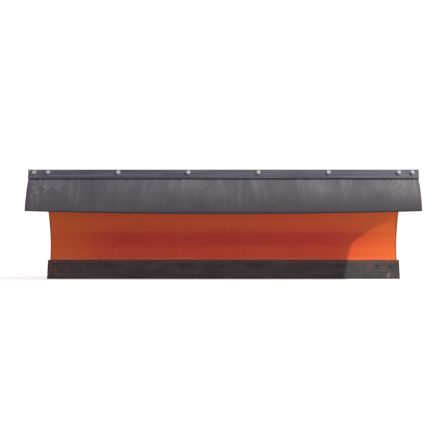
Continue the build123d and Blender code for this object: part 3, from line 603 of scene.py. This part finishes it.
def flap_profile(across):
    """Side-view places of the flap's back face and its backward normals, from the top down, at a
    share of the half width: the hem droops a little lower at mid-span and kicks up at the ends."""
    lip = side_direction(math.pi / 2 - LIP_LEAN)
    lip_back = side_direction(-LIP_LEAN)
    foot = np.array(LIP_FOOT)
    places = [foot + lip * along for along in FLAP_CLAMP_ROWS]
    normals = [lip_back] * len(places)
    bend_centre = foot + lip * FLAP_CLAMP[0] - lip_back * FLAP_BEND
    for k in range(FLAP_BEND_STEPS):
        angle = LIP_LEAN + (FLAP_TOP_SLOPE - LIP_LEAN) * k / FLAP_BEND_STEPS
        back = side_direction(-angle)
        places.append(bend_centre + back * FLAP_BEND)
        normals.append(back)
    sag = 1.0 - across * across
    hem_slope = FLAP_HEM_SLOPE - MIDDLE_SAG_TURN * sag + END_KICK * across ** 6
    length = FLAP_FREE + MIDDLE_SAG * sag - END_RISE * across * across
    radius = length / (FLAP_TOP_SLOPE - hem_slope)
    centre = bend_centre + side_direction(-FLAP_TOP_SLOPE) * (FLAP_BEND + radius)
    for k in range(FLAP_DROP_STEPS + 1):
        slope = FLAP_TOP_SLOPE + (hem_slope - FLAP_TOP_SLOPE) * k / FLAP_DROP_STEPS
        back = side_direction(-slope)
        places.append(centre - back * radius)
        normals.append(back)
    return places, normals


def flap_ripple(x, down):
    """How far the rubber stands out of its smooth shape, growing from the clamp to the hem."""
    end = max(0.0, abs(x) - CRIMP_START) / (FLAP_HALF - CRIMP_START)
    slow = noise.noise(Vector((x * 3.1, 0.7, down * 1.1)))
    quick = noise.noise(Vector((x * 11.0, 4.2, down * 1.9)))
    crimp = noise.noise(Vector((x * 42.0, 9.1, down * 3.0)))
    return down * (0.0020 * slow + 0.0009 * quick + 0.0011 * end * crimp)


def flap_columns():
    """Places along x, closer together where the ends are rounded."""
    inner = FLAP_HALF - END_STEPS[-1]
    left = [-FLAP_HALF + step for step in END_STEPS[:-1]]
    middle = [inner * (2 * k / FLAP_COLUMNS - 1) for k in range(FLAP_COLUMNS + 1)]
    return left + middle + [-x for x in reversed(left)]


def end_pinch(x):
    """How far each face is drawn in at x, so that the sheet's ends are round."""
    reach = END_STEPS[-1]
    rounding = [1.0 - math.sqrt(max(0.0, 1 - (1 - step / reach) ** 2)) for step in END_STEPS]
    near = min(FLAP_HALF - abs(x), reach)
    return END_ROUNDING * float(np.interp(near, END_STEPS, rounding))


def flap_ring(x):
    """Closed outline of the sheet at x: down its front face and up its back face."""
    places, normals = flap_profile(x / FLAP_HALF)
    pinch = end_pinch(x)
    last = len(places) - 1
    front, back = [], []
    for k, (place, normal) in enumerate(zip(places, normals)):
        down = max(0.0, (k - HELD_ROWS) / (last - HELD_ROWS))
        lift = flap_ripple(x, down)
        from_edge = min(k, last - k)
        inset = pinch
        if from_edge < len(HEM_ROUNDING):
            inset += HEM_ROUNDING[from_edge]
        if k < HELD_ROWS:
            inset += CLAMP_GAP
        back.append(place - normal * (lift + inset))
        front.append(place - normal * (lift + FLAP_THICKNESS - inset))
    return [(x, y, z) for y, z in front + back[::-1]]


def snow_flap():
    """Closed sheet with rounded hem and ends, 6 mm thick."""
    rings = [flap_ring(x) for x in flap_columns()]
    size = len(rings[0])
    points = [point for ring in rings for point in ring]
    faces = []
    for c in range(len(rings) - 1):
        a, b = c * size, (c + 1) * size
        for r in range(size):
            n = (r + 1) % size
            faces.append((a + r, b + r, b + n, a + n))
    last = (len(rings) - 1) * size
    for r in range(size // 2 - 1):
        mate = size - 1 - r
        faces.append((r, r + 1, mate - 1, mate))
        faces.append((last + mate, last + mate - 1, last + r + 1, last + r))
    return make_object("snow_flap_rubber", points, faces)


flap = add_piece(snow_flap(), "flap_rubber", "blade")
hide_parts("snow_flap")


# ---------------------------------------------------------------- trip springs


def on_spring(side, x, across, along):
    """A place on a trip spring's own axes: across is square to its line, along is up its line."""
    return (
        side * SPRING_X + x,
        SWING[0] + across * SPRING_STEP[1] + along * SPRING_STEP[0],
        SWING[1] - across * SPRING_STEP[0] + along * SPRING_STEP[1],
    )


def spring_hook():
    """Lower hook round the eye bolt, on the spring's own axes."""
    first, last = HOOK_ARC
    hook = []
    for step in range(HOOK_STEPS + 1):
        angle = first + (last - first) * step / HOOK_STEPS
        hook.append((0.0, HOOK_RADIUS * math.sin(angle), HOOK_CENTRE + HOOK_RADIUS * math.cos(angle)))
    return hook


def spring_coil():
    """Close coil, on the spring's own axes."""
    low, high = COIL_SPAN[0] + WIRE, COIL_SPAN[1] - WIRE
    count = COIL_TURNS * COIL_STEPS
    coil = []
    for step in range(count + 1):
        turn = COIL_START + 2 * math.pi * COIL_TURNS * step / count
        along = low + (high - low) * step / count
        coil.append((COIL_RADIUS * math.cos(turn), COIL_RADIUS * math.sin(turn), along))
    return coil


def spring_wire(side, name):
    """Wire of one spring: the lower hook, a bend across to the coil, and the coil."""
    hook, coil = spring_hook(), spring_coil()
    bend = smooth_path([*hook[-2:], *HOOK_TO_COIL, *coil[:2]], 5)
    path = [on_spring(side, *place) for place in hook[:-2] + bend[:-1] + coil[1:]]
    return tubes(f"trip_spring_{name}_wire", [path], WIRE, 10)


for side, name in SIDES:
    spring = add_piece(spring_wire(side, name), "spring_steel")
    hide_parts(f"trip_spring_{name}")
    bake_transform(spring)


# ---------------------------------------------------------------- welds and small hardware


def bead(points, size):
    """A weld bead along points: rippled radii, thin at both ends, as a (path, radii) pair."""
    points = [np.array(p, float) for p in points]
    lengths = [float(np.linalg.norm(b - a)) for a, b in zip(points[:-1], points[1:])]
    total = sum(lengths)
    count = max(6, int(total / BEAD_STEP))
    stops = np.concatenate([[0.0], np.cumsum(lengths)])
    along = np.linspace(0.0, total, count + 1)
    path = np.stack([np.interp(along, stops, [p[k] for p in points]) for k in range(3)], 1)
    radii = []
    for place, s in zip(path, along):
        ripple = 1.0 + 0.10 * math.sin(2 * math.pi * s / BEAD_RIPPLE)
        ripple += 0.10 * noise.noise(Vector(place * 160.0))
        fade = min(1.0, s / BEAD_FADE, (total - s) / BEAD_FADE)
        radii.append(size * ripple * (0.45 + 0.55 * math.sqrt(max(0.0, fade))))
    return list(path), radii


def stitch(x, start, end):
    """A stitch weld at x, up the back of the moldboard between two angles."""
    radius = CURVE_RADIUS + SKIN + STITCH_OFFSET
    line = []
    for angle in np.linspace(start, end, STITCH_STEPS + 1):
        y, z = np.array(CURVE_CENTRE) + side_direction(angle) * radius
        line.append((x, y, z))
    return bead(line, STITCH_SIZE)


def rib_stitches(x, faces, arc, count, half=RIB_HALF):
    """Stitch welds up the given faces of a rib, where it meets the back of the moldboard."""
    start, end = arc
    pitch = (end - start) / (count - 1 + STITCH_SHARE)
    paths = []
    for face in faces:
        corner = x + face * (half + STITCH_OFFSET)
        for k in range(count):
            low = start + pitch * k
            paths.append(stitch(corner, low, low + pitch * STITCH_SHARE))
    return paths


stitches = []
for side, _ in SIDES:
    stitches += rib_stitches(side * OUTER_RIB_X, (-1, 1), RIB_ARC, RIB_STITCHES)
    stitches += rib_stitches(side * PIVOT_RIB_X, (-1, 1), RIB_ARC, RIB_STITCHES, PIVOT_RIB_HALF)
    stitches += rib_stitches(side * END_RIB_X, (-side,), RIB_ARC, RIB_STITCHES)
    stitches += rib_stitches(side * SKID_X, (-1, 1), GUSSET_ARC, 1)
add_piece(tubes("rib_welds", stitches, 0.0, 8), "orange_paint", "blade")


def level_bead(half, y, z):
    """A bead from one side of the frame to the other."""
    return bead([(-half, y, z), (half, y, z)], FRAME_BEAD_SIZE)


def upright_bead(x, reach, z):
    """A bead along the foot of an upright plate, from front to back."""
    return bead([(x, y, z) for y in reach], FRAME_BEAD_SIZE)


frame_beads = [
    level_bead(0.100, PLATE_FRONT, TUBE_TOP + 0.0002),
    level_bead(0.088, PLATE_FRONT, TUBE_FOOT - 0.0002),
    level_bead(0.108, TUBE_BACK + 0.0004, TUBE_TOP - 0.0014),
    level_bead(0.094, TUBE_BACK + 0.0004, TUBE_FOOT + 0.0014),
]
for side, _ in SIDES:
    frame_beads.append(upright_bead(side * EAR_X, EAR_WELD, TUBE_TOP + 0.0006))
    for face in (-1, 1):
        frame_beads.append(upright_bead(side * POST_X + face * POST_HALF, POST_WELD, POST_WELD_Z))
add_piece(tubes("frame_welds", frame_beads, 0.0, 8), "black_paint", "trip_frame")


def thread_ridge(side):
    """Rolled thread on the eye bolt's shank, behind the eye."""
    first, last = THREAD_SPAN
    turns = (last - first) / THREAD_PITCH
    count = int(turns * THREAD_STEPS)
    path = []
    for k in range(count + 1):
        turn = 2 * math.pi * turns * k / count
        along = first + (last - first) * k / count
        x, across = THREAD_RADIUS * math.cos(turn), THREAD_RADIUS * math.sin(turn)
        path.append(on_spring(side, x, across, along))
    return path


threads = tubes("eye_bolt_threads", [thread_ridge(side) for side, _ in SIDES], THREAD_RIDGE, 4)
add_piece(threads, "zinc_plate", "trip_frame")


def clip_path(side):
    """Hairpin clip through the inner end of a skid's lock pin."""
    x = side * (SKID_X - CLIP_INSET)
    y, z = CLIP_PLACE
    return smooth_path([(x, y - across, z + up * CLIP_SQUASH) for up, across in CLIP_SHAPE], 6)


for side, name in SIDES:
    clip = tubes(f"skid_pin_clip_{name}", [clip_path(side)], CLIP_WIRE, 8)
    add_piece(clip, "zinc_plate", f"skid_{name}")


# ---------------------------------------------------------------- finish on the CAD nodes

for node in NODES.values():
    dress(node)


# ---------------------------------------------------------------- floor, lights and camera


def make_floor():
    corners = ((-1, -1), (1, -1), (1, 1), (-1, 1))
    points = [(x * FLOOR_HALF, y * FLOOR_HALF, -FLOOR_GAP) for x, y in corners]
    floor = make_object("floor", points, [(0, 1, 2, 3)], smooth=False)
    floor.data.materials.append(floor_paper())


def make_world():
    world = bpy.data.worlds.new("studio")
    bpy.context.scene.world = world
    world.use_nodes = True
    nodes, links = world.node_tree.nodes, world.node_tree.links
    nodes.clear()
    output = nodes.new("ShaderNodeOutputWorld")
    soft = nodes.new("ShaderNodeBackground")
    soft.inputs["Color"].default_value = FILL_COLOUR
    soft.inputs["Strength"].default_value = FILL_STRENGTH
    seen = nodes.new("ShaderNodeBackground")
    seen.inputs["Color"].default_value = BACKDROP_COLOUR
    seen.inputs["Strength"].default_value = BACKDROP_STRENGTH
    choice = nodes.new("ShaderNodeMixShader")
    rays = nodes.new("ShaderNodeLightPath")
    links.new(rays.outputs["Is Camera Ray"], choice.inputs[0])
    links.new(soft.outputs[0], choice.inputs[1])
    links.new(seen.outputs[0], choice.inputs[2])
    links.new(choice.outputs[0], output.inputs["Surface"])


def make_key_light():
    data = bpy.data.lights.new("key", "AREA")
    data.shape = "DISK"
    data.size = KEY_SIZE
    data.energy = KEY_POWER
    data.color = KEY_COLOUR
    light = bpy.data.objects.new("key", data)
    bpy.context.scene.collection.objects.link(light)
    flat = math.cos(KEY_ELEVATION)
    towards = Vector(
        (flat * math.sin(KEY_AZIMUTH), -flat * math.cos(KEY_AZIMUTH), math.sin(KEY_ELEVATION))
    )
    light.location = Vector(KEY_TARGET) + towards * KEY_DISTANCE
    light.rotation_euler = towards.to_track_quat("Z", "Y").to_euler()


def make_camera():
    data = bpy.data.cameras.new("camera")
    data.sensor_width = SENSOR_WIDTH
    data.lens = CAMERA_LENS
    data.clip_end = 200.0
    camera = bpy.data.objects.new("camera", data)
    bpy.context.scene.collection.objects.link(camera)
    camera.location = CAMERA_PLACE
    camera.rotation_euler = (math.pi / 2, 0.0, 0.0)
    bpy.context.scene.camera = camera


make_floor()
make_world()
make_key_light()
make_camera()
bpy.context.scene.view_settings.view_transform = "Standard"

bpy.context.view_layer.update()
